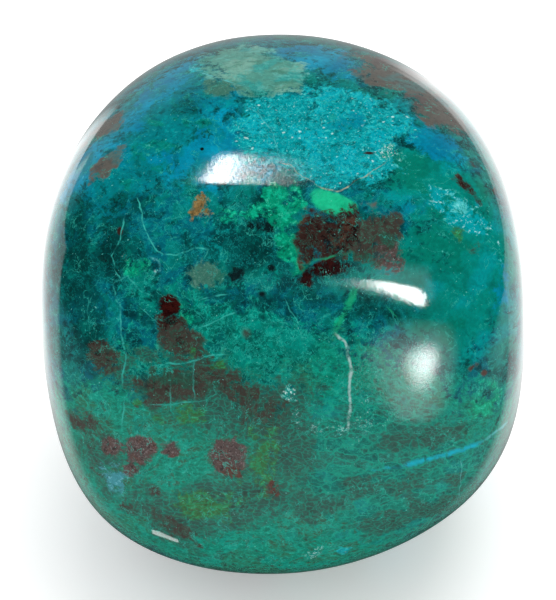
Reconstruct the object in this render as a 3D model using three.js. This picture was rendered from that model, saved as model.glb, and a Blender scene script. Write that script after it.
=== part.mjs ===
// A tumbled and polished chrysocolla pebble, about the size of a walnut, resting on the flat that
// it wore on its underside. Millimetres, +Z up, +X to the viewer's right, -Y towards the viewer.
// The origin is the middle of the bounding box, on the surface that the pebble rests on.
//
// Tumbling wears a stone into broad, gently crowned flats that melt into each other. The form here
// is that: a set of flats, each with the way it faces and its distance from the pebble's middle,
// blended by a power sum. A ray from the middle meets the surface where the sum reaches one.
import * as THREE from "three";
import { mergeVertices } from "three/addons/utils/BufferGeometryUtils.js";

const halfWidth = 16.0; // middle to the right flat; the left one stands a little further out
const halfDepth = 17.0; // middle to the back flat
const frontDepth = 16.4; // middle to the flat that faces the viewer
const crownHeight = 18.0; // middle to the flat on top
const shoulderReach = 18.4; // middle to the sloping flats of the upper back
const footReach = 18.6; // middle to the sloping flats around the base
const fullCornerReach = 20.8; // middle to the fullest corner, low on the left of the front
const restHeight = 16.4; // middle of the pebble above the surface that it rests on
const underReach = 17.4; // middle to the crowned underside, before its resting flat is worn off
const blend = 7; // how crisply the flats meet: 2 gives a plain ellipsoid, 20 nearly sharp edges
const detail = 19; // splits of each edge of the starting icosahedron

// Azimuth 0 faces the viewer and 90 faces +X. Elevation is above the horizon. Both in degrees.
const flats = [
  { name: "front", azimuth: -4, elevation: 12, distance: frontDepth },
  { name: "crown", azimuth: 0, elevation: 78, distance: crownHeight },
  { name: "left side", azimuth: -90, elevation: 0, distance: halfWidth + 0.2 },
  { name: "right side", azimuth: 90, elevation: 2, distance: halfWidth },
  { name: "back", azimuth: 180, elevation: 0, distance: halfDepth },
  { name: "upper back", azimuth: 180, elevation: 55, distance: shoulderReach + 0.65 },
  { name: "left shoulder", azimuth: -117, elevation: 34, distance: shoulderReach + 0.1 },
  { name: "right shoulder", azimuth: 121, elevation: 34, distance: shoulderReach },
  { name: "left heel", azimuth: -76, elevation: -26, distance: fullCornerReach - 0.9 },
  { name: "front left foot", azimuth: -46, elevation: -46, distance: fullCornerReach },
  { name: "front foot", azimuth: 4, elevation: -53, distance: footReach + 0.7 },
  { name: "front right foot", azimuth: 55, elevation: -38, distance: footReach - 0.1 },
  { name: "back left foot", azimuth: -120, elevation: -36, distance: footReach },
  { name: "back right foot", azimuth: 120, elevation: -36, distance: footReach },
  { name: "back foot", azimuth: 180, elevation: -50, distance: footReach },
  { name: "underside", azimuth: 0, elevation: -90, distance: underReach },
];

// The way a flat faces, as a unit vector.
function facing({ azimuth, elevation }) {
  const turn = THREE.MathUtils.degToRad(azimuth);
  const rise = THREE.MathUtils.degToRad(elevation);
  const level = Math.cos(rise);
  return new THREE.Vector3(Math.sin(turn) * level, -Math.cos(turn) * level, Math.sin(rise));
}

// Distance from the pebble's middle to its worn surface, along a unit direction.
function reach(direction) {
  let sum = 0;
  for (const { normal, distance } of flats) {
    const share = normal.dot(direction) / distance;
    if (share > 0) sum += share ** blend;
  }
  const worn = sum ** (-1 / blend);
  const resting = direction.z < 0 ? restHeight / -direction.z : Infinity;
  return Math.min(worn, resting);
}

// The pebble's surface: an even mesh of triangles, pushed out from the middle to the worn form.
function pebbleGeometry() {
  const geometry = new THREE.IcosahedronGeometry(1, detail);
  geometry.deleteAttribute("normal");
  geometry.deleteAttribute("uv");
  const merged = mergeVertices(geometry, 1e-5);
  const position = merged.getAttribute("position");
  const point = new THREE.Vector3();
  for (let i = 0; i < position.count; i++) {
    point.fromBufferAttribute(position, i).normalize();
    point.multiplyScalar(reach(point));
    position.setXYZ(i, point.x, point.y, point.z);
  }
  return merged;
}

for (const flat of flats) flat.normal = facing(flat);

const geometry = pebbleGeometry();
geometry.computeBoundingBox();
const middle = geometry.boundingBox.getCenter(new THREE.Vector3());

const stone = new THREE.Mesh(
  geometry,
  new THREE.MeshStandardMaterial({ color: 0x0e7a70, roughness: 0.15, metalness: 0 }),
);
stone.name = "chrysocolla_stone";
stone.position.set(-middle.x, -middle.y, restHeight);

const model = new THREE.Group();
model.add(stone);

export default model;
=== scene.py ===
"""A tumbled and polished chrysocolla pebble on a white table, dressed over its plain solid.

The pebble is one piece. Its form is a set of crowned flats worn into each other, and its colour is
worked out in the solid: fields of noise for the ground, and a list of markings (blue silica,
malachite, cuprite, veins and grains) that lie on the surface where the photograph shows them.
"""
from __future__ import annotations

import logging
import math
from dataclasses import dataclass
from enum import Enum

import bmesh
import bpy
from mathutils import Matrix, Vector, kdtree, noise

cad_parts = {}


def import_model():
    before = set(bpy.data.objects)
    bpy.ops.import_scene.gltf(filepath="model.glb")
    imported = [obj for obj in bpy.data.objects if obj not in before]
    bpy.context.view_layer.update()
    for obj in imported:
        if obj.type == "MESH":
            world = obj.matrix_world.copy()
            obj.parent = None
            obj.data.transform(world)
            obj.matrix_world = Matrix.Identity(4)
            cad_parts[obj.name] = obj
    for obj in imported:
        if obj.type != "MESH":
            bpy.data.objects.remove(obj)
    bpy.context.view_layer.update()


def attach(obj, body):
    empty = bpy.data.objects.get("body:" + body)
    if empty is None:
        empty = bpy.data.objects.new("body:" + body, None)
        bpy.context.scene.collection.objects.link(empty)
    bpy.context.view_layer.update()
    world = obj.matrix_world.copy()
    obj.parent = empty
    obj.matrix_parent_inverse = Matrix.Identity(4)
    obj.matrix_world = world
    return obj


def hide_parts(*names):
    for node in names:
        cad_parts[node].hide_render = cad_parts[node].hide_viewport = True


log = logging.getLogger("pebble")

NODE = "chrysocolla_stone"
BODY = "root"
MM = 0.001
LIGHT_LEVEL = 1.25  # how much brighter than its paint a surface shows in the studio's light

Pixel = tuple[float, float]
Tone = tuple[int, int, int]
Socket = bpy.types.NodeSocket


def paint(tone: Tone) -> tuple[float, float, float, float]:
    """Turns a tone as a screen shows it into the linear colour that shaders work in.

    Args:
        tone: red, green and blue, each 0 to 255.

    Returns:
        Linear red, green and blue with an alpha of one.
    """
    linear = []
    for part in tone:
        share = part / 255
        lit = share / 12.92 if share <= 0.04045 else ((share + 0.055) / 1.055) ** 2.4
        linear.append(lit / LIGHT_LEVEL)
    return (linear[0], linear[1], linear[2], 1.0)


@dataclass(frozen=True)
class Flat:
    """One broad flat that tumbling wore, by the way it faces and how far out it lies."""

    azimuth: float
    elevation: float
    distance: float

    def facing(self) -> Vector:
        """The flat's outward unit normal."""
        turn = math.radians(self.azimuth)
        rise = math.radians(self.elevation)
        level = math.cos(rise)
        return Vector((math.sin(turn) * level, -math.cos(turn) * level, math.sin(rise)))


@dataclass
class WornForm:
    """The pebble's form in millimetres, round its own middle."""

    half_width: float = 16.0
    half_depth: float = 17.0
    front_depth: float = 16.4
    crown_height: float = 18.0
    shoulder_reach: float = 18.4
    foot_reach: float = 18.6
    full_corner_reach: float = 20.8
    rest_height: float = 16.4
    under_reach: float = 17.4
    blend: float = 7.0
    ripple: float = 0.04
    ripple_length: float = 9.0
    probe: float = 0.01
    step: float = 0.25
    halvings: int = 18

    def __post_init__(self) -> None:
        """Works the flats out once, as pairs of normal and distance."""
        flats = [
            Flat(-4, 12, self.front_depth),
            Flat(0, 78, self.crown_height),
            Flat(-90, 0, self.half_width + 0.2),
            Flat(90, 2, self.half_width),
            Flat(180, 0, self.half_depth),
            Flat(180, 55, self.shoulder_reach + 0.65),
            Flat(-117, 34, self.shoulder_reach + 0.1),
            Flat(121, 34, self.shoulder_reach),
            Flat(-76, -26, self.full_corner_reach - 0.9),
            Flat(-46, -46, self.full_corner_reach),
            Flat(4, -53, self.foot_reach + 0.7),
            Flat(55, -38, self.foot_reach - 0.1),
            Flat(-120, -36, self.foot_reach),
            Flat(120, -36, self.foot_reach),
            Flat(180, -50, self.foot_reach),
            Flat(0, -90, self.under_reach),
        ]
        self.flats = [(flat.facing(), flat.distance) for flat in flats]

    def reach(self, direction: Vector) -> float:
        """Distance from the middle to the surface along a unit direction.

        Args:
            direction: unit vector from the pebble's middle.

        Returns:
            The distance in millimetres, before the resting flat is worn off.
        """
        total = 0.0
        for normal, distance in self.flats:
            share = normal.dot(direction) / distance
            if share > 0:
                total += share**self.blend
        swell = noise.noise(direction * (2 * self.half_width / self.ripple_length)) * self.ripple
        return total ** (-1 / self.blend) + swell

    def normal(self, point: Vector) -> Vector:
        """Outward unit normal of the surface.

        Args:
            point: a point of the surface, from the pebble's middle.

        Returns:
            The unit normal there, from three points close together.
        """
        direction = point.normalized()
        across = direction.orthogonal().normalized()
        along = direction.cross(across)
        here = direction * self.reach(direction)
        ends = []
        for side in (across, along):
            near = (direction + side * self.probe).normalized()
            ends.append(near * self.reach(near) - here)
        return ends[0].cross(ends[1]).normalized()

    def meet(self, start: Vector, heading: Vector) -> Vector | None:
        """Finds where a ray first meets the surface.

        Args:
            start: the ray's start, from the pebble's middle.
            heading: the ray's unit direction.

        Returns:
            The point met, or None where the ray passes the pebble.
        """
        nearest = -start.dot(heading)
        near = nearest - 1.5 * self.half_width
        while near < nearest + self.half_width / 8:
            far = near + self.step
            if self.inside(start + heading * far):
                break
            near = far
        else:
            return None
        for _ in range(self.halvings):
            half = (near + far) / 2
            if self.inside(start + heading * half):
                far = half
            else:
                near = half
        return start + heading * far

    def inside(self, point: Vector) -> bool:
        """Whether a point, from the pebble's middle, is inside the worn form."""
        return point.length <= self.reach(point.normalized())


@dataclass
class PhotoCamera:
    """The photograph's viewpoint. Distances are in millimetres."""

    middle: Vector
    frame_width: int = 556
    frame_height: int = 600
    elevation: float = 35.0
    distance: float = 280.0
    seen_width: float = 33.0
    seen_width_px: float = 488.0
    middle_px: Pixel = (284.0, 305.0)
    sensor: float = 36.0
    clip_m: tuple[float, float] = (0.01, 20.0)

    def __post_init__(self) -> None:
        """Works the camera's axes and place out once."""
        rise = math.radians(self.elevation)
        self.right = Vector((1, 0, 0))
        self.up = Vector((0, math.sin(rise), math.cos(rise)))
        self.ahead = Vector((0, math.cos(rise), -math.sin(rise)))
        self.eye = self.middle - self.ahead * self.distance
        self.focal_px = self.seen_width_px / self.seen_width * self.distance

    def ray(self, pixel: Pixel) -> Vector:
        """The unit direction in which the camera sees a pixel of the photograph.

        Args:
            pixel: column and row in the photograph's 556 by 600 frame.

        Returns:
            The direction from the camera's eye.
        """
        across = (pixel[0] - self.middle_px[0]) / self.focal_px
        down = (pixel[1] - self.middle_px[1]) / self.focal_px
        return (self.ahead + self.right * across - self.up * down).normalized()

    def build(self) -> bpy.types.Object:
        """Makes the camera, looking at the pebble's middle.

        Returns:
            The camera object, set as the scene's own.
        """
        lens = bpy.data.cameras.new("photograph camera")
        lens.sensor_width = self.sensor
        lens.lens = self.sensor * self.focal_px / self.frame_height
        lens.shift_x = (self.frame_width / 2 - self.middle_px[0]) / self.frame_height
        lens.shift_y = (self.middle_px[1] - self.frame_height / 2) / self.frame_height
        lens.clip_start, lens.clip_end = self.clip_m
        camera = bpy.data.objects.new("photograph camera", lens)
        axes = Matrix((self.right, self.up, -self.ahead)).transposed()
        camera.matrix_world = Matrix.Translation(self.eye * MM) @ axes.to_4x4()
        bpy.context.scene.collection.objects.link(camera)
        bpy.context.scene.camera = camera
        return camera


@dataclass
class Sight:
    """Carries pixels of the photograph onto the pebble."""

    form: WornForm
    camera: PhotoCamera
    shares: tuple[float, ...] = (1.0, 0.75, 0.5, 0.3, 0.15)
    pixel_mm: float = 0.07

    def spot(self, pixel: Pixel) -> Vector | None:
        """The point of the pebble seen at a pixel, in the row frame, or None beside the pebble."""
        met = self.form.meet(self.camera.eye - self.camera.middle, self.camera.ray(pixel))
        return None if met is None else met + self.camera.middle

    def need(self, pixel: Pixel) -> Vector:
        """As spot, for a pixel that has to lie on the pebble.

        Args:
            pixel: column and row in the photograph.

        Returns:
            The point in the row frame, in millimetres.

        Raises:
            ValueError: if the pixel is beside the pebble.
        """
        met = self.spot(pixel)
        if met is None:
            raise ValueError(f"the pebble isn't seen at {pixel}")
        return met

    def stride(self, pixel: Pixel, across: float, down: float) -> Vector:
        """How far the seen point moves over the pebble when the pixel moves.

        Args:
            pixel: where the move starts.
            across: columns to the right.
            down: rows down.

        Returns:
            The move in millimetres. Near the rim a shorter move is measured and stretched.
        """
        start = self.need(pixel)
        for share in self.shares:
            end = self.spot((pixel[0] + across * share, pixel[1] + down * share))
            if end is not None:
                return (end - start) / share
        return (self.camera.right * across - self.camera.up * down) * self.pixel_mm

    def mirrored(self, pixel: Pixel) -> Vector:
        """The direction from which the pebble mirrors light to the camera at a pixel."""
        met = self.need(pixel) - self.camera.middle
        normal = self.form.normal(met)
        ray = self.camera.ray(pixel)
        return ray - normal * 2 * ray.dot(normal)


class Field(Enum):
    """The shared fields that the minerals' layers follow."""

    CLOUD = "cloud"
    MOTTLE = "mottle"
    FINE = "fine"
    GRAIN = "grain"
    LACE = "lace"
    NET = "net"
    FINE_NET = "fine net"
    CELL = "cell"
    FLECK = "fleck"
    DUST = "dust"
    STREAK = "streak"
    PATCH = "patch"
    THREAD = "thread"


class Edge(Enum):
    """How a marking's outline runs."""

    CLEAN = "clean"
    RAGGED = "ragged"
    FRAYED = "frayed"


@dataclass(frozen=True)
class Layer:
    """A tone that shows where a field passes from low to high."""

    field: Field
    low: float
    high: float
    tone: Tone
    strength: float = 1.0


@dataclass(frozen=True)
class Mineral:
    """A mineral's ground tone and the layers over it."""

    ground: Tone
    layers: tuple[Layer, ...]


class Rock(Enum):
    """The minerals that the pebble is grown through with. SHADE is partly painted shade."""

    DARK_LACE = Mineral((0, 86, 84), (
        Layer(Field.CLOUD, 0.47, 0.55, (0, 102, 116), 0.9),
        Layer(Field.PATCH, 0.52, 0.59, (0, 122, 110), 0.7),
        Layer(Field.PATCH, 0.46, 0.38, (0, 60, 62), 0.8),
        Layer(Field.MOTTLE, 0.45, 0.36, (0, 48, 50), 0.7),
        Layer(Field.MOTTLE, 0.53, 0.61, (0, 132, 130), 0.7),
        Layer(Field.LACE, 0.022, 0.003, (30, 166, 160), 0.5),
        Layer(Field.FINE, 0.60, 0.68, (30, 170, 168), 0.5),
    ))
    TEAL_LACE = Mineral((0, 112, 98), (
        Layer(Field.CLOUD, 0.46, 0.38, (0, 92, 92), 0.7),
        Layer(Field.PATCH, 0.52, 0.60, (0, 136, 122), 0.75),
        Layer(Field.PATCH, 0.46, 0.38, (0, 80, 72), 0.8),
        Layer(Field.MOTTLE, 0.45, 0.36, (0, 58, 54), 0.7),
        Layer(Field.MOTTLE, 0.53, 0.61, (0, 152, 134), 0.75),
        Layer(Field.LACE, 0.028, 0.003, (40, 186, 168), 0.55),
        Layer(Field.FINE, 0.59, 0.67, (50, 190, 172), 0.55),
    ))
    # SHADE: the stone's own dark teal, darkened further by painted shade where the front band below the crown
    # and the left side face away from the light
    SHADE = Mineral((0, 58, 56), (
        Layer(Field.CLOUD, 0.52, 0.60, (0, 76, 78), 0.8),
        Layer(Field.PATCH, 0.46, 0.38, (0, 38, 38), 0.6),
        Layer(Field.MOTTLE, 0.54, 0.62, (0, 94, 88), 0.7),
        Layer(Field.LACE, 0.018, 0.003, (10, 128, 124), 0.5),
        Layer(Field.FINE, 0.60, 0.68, (10, 122, 118), 0.5),
    ))
    GREEN_FELT = Mineral((6, 126, 104), (
        Layer(Field.CLOUD, 0.52, 0.42, (44, 106, 80), 0.75),
        Layer(Field.PATCH, 0.53, 0.60, (0, 144, 126), 0.75),
        Layer(Field.MOTTLE, 0.48, 0.40, (54, 82, 64), 0.75),
        Layer(Field.NET, 0.10, 0.02, (10, 152, 130), 0.45),
        Layer(Field.FINE_NET, 0.11, 0.02, (16, 162, 138), 0.5),
        Layer(Field.FINE, 0.44, 0.34, (8, 84, 74), 0.6),
        Layer(Field.FINE, 0.58, 0.68, (50, 186, 166), 0.6),
    ))
    NETWORK = Mineral((6, 120, 104), (
        Layer(Field.CELL, 0.50, 0.62, (38, 100, 90), 0.75),
        Layer(Field.CELL, 0.30, 0.22, (0, 98, 92), 0.7),
        Layer(Field.CLOUD, 0.53, 0.62, (0, 132, 128), 0.7),
        Layer(Field.MOTTLE, 0.46, 0.37, (16, 78, 72), 0.7),
        Layer(Field.MOTTLE, 0.54, 0.62, (0, 146, 132), 0.6),
        Layer(Field.FINE, 0.57, 0.68, (40, 164, 146), 0.5),
        Layer(Field.NET, 0.09, 0.02, (14, 150, 126), 0.75),
        Layer(Field.FINE_NET, 0.09, 0.02, (20, 158, 134), 0.45),
    ))
    UMBER = Mineral((44, 88, 78), (
        Layer(Field.MOTTLE, 0.47, 0.38, (40, 66, 58), 0.8),
        Layer(Field.FINE, 0.56, 0.66, (40, 118, 102), 0.6),
        Layer(Field.FINE_NET, 0.09, 0.02, (16, 142, 120), 0.6),
    ))
    BLUE_SILICA = Mineral((0, 130, 156), (
        Layer(Field.PATCH, 0.52, 0.62, (0, 122, 126), 0.65),
        Layer(Field.CLOUD, 0.50, 0.60, (0, 146, 176), 0.8),
        Layer(Field.CLOUD, 0.46, 0.38, (0, 116, 148), 0.8),
        Layer(Field.MOTTLE, 0.46, 0.37, (0, 98, 112), 0.5),
    ))
    SANDY_TURQUOISE = Mineral((0, 148, 154), (
        Layer(Field.MOTTLE, 0.48, 0.38, (0, 106, 108), 0.9),
        Layer(Field.PATCH, 0.50, 0.58, (0, 164, 178), 0.7),
        Layer(Field.FINE, 0.54, 0.63, (40, 188, 186), 0.7),
        Layer(Field.FINE, 0.45, 0.35, (0, 100, 104), 0.75),
        Layer(Field.GRAIN, 0.57, 0.66, (90, 204, 200), 0.4),
        Layer(Field.FLECK, 0.30, 0.16, (190, 232, 224), 0.8),
        Layer(Field.DUST, 0.30, 0.16, (150, 222, 216), 0.75),
    ))
    BLUE_TEAL = Mineral((0, 120, 126), (
        Layer(Field.PATCH, 0.52, 0.60, (0, 126, 108), 0.7),
        Layer(Field.CLOUD, 0.50, 0.60, (0, 130, 152), 0.8),
        Layer(Field.MOTTLE, 0.46, 0.37, (0, 88, 90), 0.75),
        Layer(Field.MOTTLE, 0.54, 0.62, (0, 148, 150), 0.6),
        Layer(Field.FINE, 0.44, 0.34, (0, 78, 82), 0.5),
        Layer(Field.FINE, 0.59, 0.68, (50, 178, 176), 0.5),
    ))
    CHALCEDONY = Mineral((78, 146, 132), (
        Layer(Field.PATCH, 0.50, 0.60, (36, 146, 142), 0.7),
        Layer(Field.CLOUD, 0.50, 0.60, (116, 168, 152), 0.8),
        Layer(Field.STREAK, 0.47, 0.36, (66, 128, 110), 0.7),
        Layer(Field.MOTTLE, 0.54, 0.62, (98, 180, 172), 0.5),
    ))
    CLEAR_TEAL = Mineral((0, 130, 118), (
        Layer(Field.CLOUD, 0.50, 0.62, (0, 144, 146), 0.8),
        Layer(Field.CLOUD, 0.46, 0.38, (0, 112, 92), 0.7),
        Layer(Field.PATCH, 0.48, 0.38, (0, 104, 92), 0.45),
        Layer(Field.FINE, 0.60, 0.72, (30, 164, 156), 0.4),
    ))
    MALACHITE = Mineral((0, 138, 104), (
        Layer(Field.MOTTLE, 0.48, 0.38, (0, 82, 66), 0.9),
        Layer(Field.MOTTLE, 0.52, 0.60, (10, 178, 138), 0.85),
        Layer(Field.FINE, 0.44, 0.35, (0, 74, 60), 0.6),
        Layer(Field.FINE, 0.56, 0.66, (60, 206, 172), 0.65),
    ))
    BRIGHT_MALACHITE = Mineral((10, 172, 122), (
        Layer(Field.CLOUD, 0.44, 0.56, (30, 190, 140), 0.8),
        Layer(Field.PATCH, 0.47, 0.40, (0, 150, 104), 0.6),
    ))
    CUPRITE = Mineral((50, 32, 28), (
        Layer(Field.MOTTLE, 0.48, 0.40, (16, 8, 8), 0.9),
        Layer(Field.PATCH, 0.53, 0.60, (80, 48, 36), 0.7),
        Layer(Field.FINE, 0.44, 0.36, (20, 12, 12), 0.6),
        Layer(Field.FINE, 0.60, 0.67, (56, 90, 86), 0.6),
        Layer(Field.LACE, 0.018, 0.003, (20, 116, 102), 0.45),
    ))
    DEEP_CUPRITE = Mineral((30, 4, 5), (
        Layer(Field.MOTTLE, 0.50, 0.60, (58, 18, 14), 0.7),
    ))
    MAUVE_CUPRITE = Mineral((80, 68, 66), (
        Layer(Field.MOTTLE, 0.54, 0.62, (90, 62, 54), 0.6),
        Layer(Field.FINE, 0.46, 0.38, (42, 32, 32), 0.8),
        Layer(Field.GRAIN, 0.55, 0.64, (132, 120, 120), 0.6),
    ))
    BROWN = Mineral((62, 58, 52), (
        Layer(Field.MOTTLE, 0.47, 0.38, (38, 32, 30), 0.85),
        Layer(Field.PATCH, 0.53, 0.61, (40, 80, 66), 0.75),
        Layer(Field.FINE, 0.58, 0.66, (56, 112, 98), 0.6),
        Layer(Field.LACE, 0.022, 0.003, (24, 126, 104), 0.5),
    ))
    HAZY_BROWN = Mineral((90, 88, 82), (
        Layer(Field.CLOUD, 0.46, 0.38, (82, 72, 70), 0.8),
        Layer(Field.CLOUD, 0.54, 0.62, (74, 108, 106), 0.8),
        Layer(Field.MOTTLE, 0.46, 0.38, (72, 66, 62), 0.6),
    ))
    OLIVE = Mineral((50, 108, 64), (
        Layer(Field.MOTTLE, 0.48, 0.38, (78, 80, 46), 0.8),
        Layer(Field.FINE_NET, 0.12, 0.02, (24, 148, 100), 0.6),
        Layer(Field.FINE, 0.56, 0.66, (50, 170, 128), 0.6),
        Layer(Field.FINE, 0.44, 0.35, (50, 66, 40), 0.6),
    ))
    OCHRE = Mineral((122, 98, 58), (
        Layer(Field.FINE, 0.52, 0.60, (148, 124, 78), 0.7),
        Layer(Field.FINE, 0.46, 0.37, (66, 70, 44), 0.8),
    ))
    GREY_LENS = Mineral((56, 112, 98), (
        Layer(Field.GRAIN, 0.53, 0.64, (96, 142, 128), 0.6),
        Layer(Field.CLOUD, 0.48, 0.38, (20, 106, 88), 0.7),
    ))
    PALE_BLUE = Mineral((60, 142, 152), (
        Layer(Field.FINE, 0.55, 0.64, (120, 184, 196), 0.6),
    ))
    MILKY = Mineral((0, 152, 158), (
        Layer(Field.MOTTLE, 0.48, 0.40, (0, 116, 116), 0.8),
        Layer(Field.STREAK, 0.54, 0.60, (90, 208, 208), 0.7),
        Layer(Field.FINE, 0.57, 0.65, (190, 238, 236), 0.6),
    ))
    SNOW = Mineral((20, 146, 134), (
        Layer(Field.FINE, 0.46, 0.38, (0, 112, 102), 0.7),
        Layer(Field.FINE, 0.56, 0.62, (140, 212, 206), 0.8),
        Layer(Field.GRAIN, 0.56, 0.62, (216, 240, 236), 0.9),
    ))
    SOOT = Mineral((6, 30, 32), (
        Layer(Field.FINE, 0.58, 0.68, (20, 84, 82), 0.6),
    ))
    RED_SPOT = Mineral((86, 56, 48), (
        Layer(Field.FINE, 0.47, 0.38, (56, 32, 28), 0.8),
        Layer(Field.GRAIN, 0.56, 0.66, (104, 78, 68), 0.5),
    ))


@dataclass(frozen=True)
class Marking:
    """A patch of one mineral on the pebble, placed by the photograph.

    centre and half are in pixels of the photograph, and turn is in degrees, clockwise there.
    """

    name: str
    rock: Rock
    centre: Pixel
    half: Pixel
    turn: float = 0.0
    edge: Edge = Edge.RAGGED
    soft: float = 0.25
    strength: float = 1.0


@dataclass(frozen=True)
class Vein:
    """A thin filled crack, as a run of points in pixels of the photograph, and its width in millimetres."""

    name: str
    tone: Tone
    run: tuple[Pixel, ...]
    width: float
    strength: float = 1.0
    edge: Edge = Edge.RAGGED


ZONES = (
    Marking("felt below", Rock.GREEN_FELT, (270, 480), (240, 130), 0, Edge.RAGGED, 0.25, 1.0),
    Marking("lace across the middle", Rock.TEAL_LACE, (235, 345), (140, 62), 6, Edge.RAGGED, 0.35, 0.9),
    Marking("lace, lower middle", Rock.TEAL_LACE, (360, 400), (95, 55), 0, Edge.RAGGED, 0.35, 0.8),
    Marking("malachite net", Rock.NETWORK, (395, 480), (125, 66), -8, Edge.RAGGED, 0.35, 1.0),
    Marking("blue teal shoulder", Rock.BLUE_TEAL, (150, 125), (95, 62), -48, Edge.RAGGED, 0.35, 1.0),
    Marking("clear right side", Rock.CLEAR_TEAL, (455, 285), (66, 78), 0, Edge.RAGGED, 0.4, 1.0),
    Marking("clear right shoulder", Rock.CLEAR_TEAL, (440, 185), (70, 40), 40, Edge.RAGGED, 0.4, 1.0),
)

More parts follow.
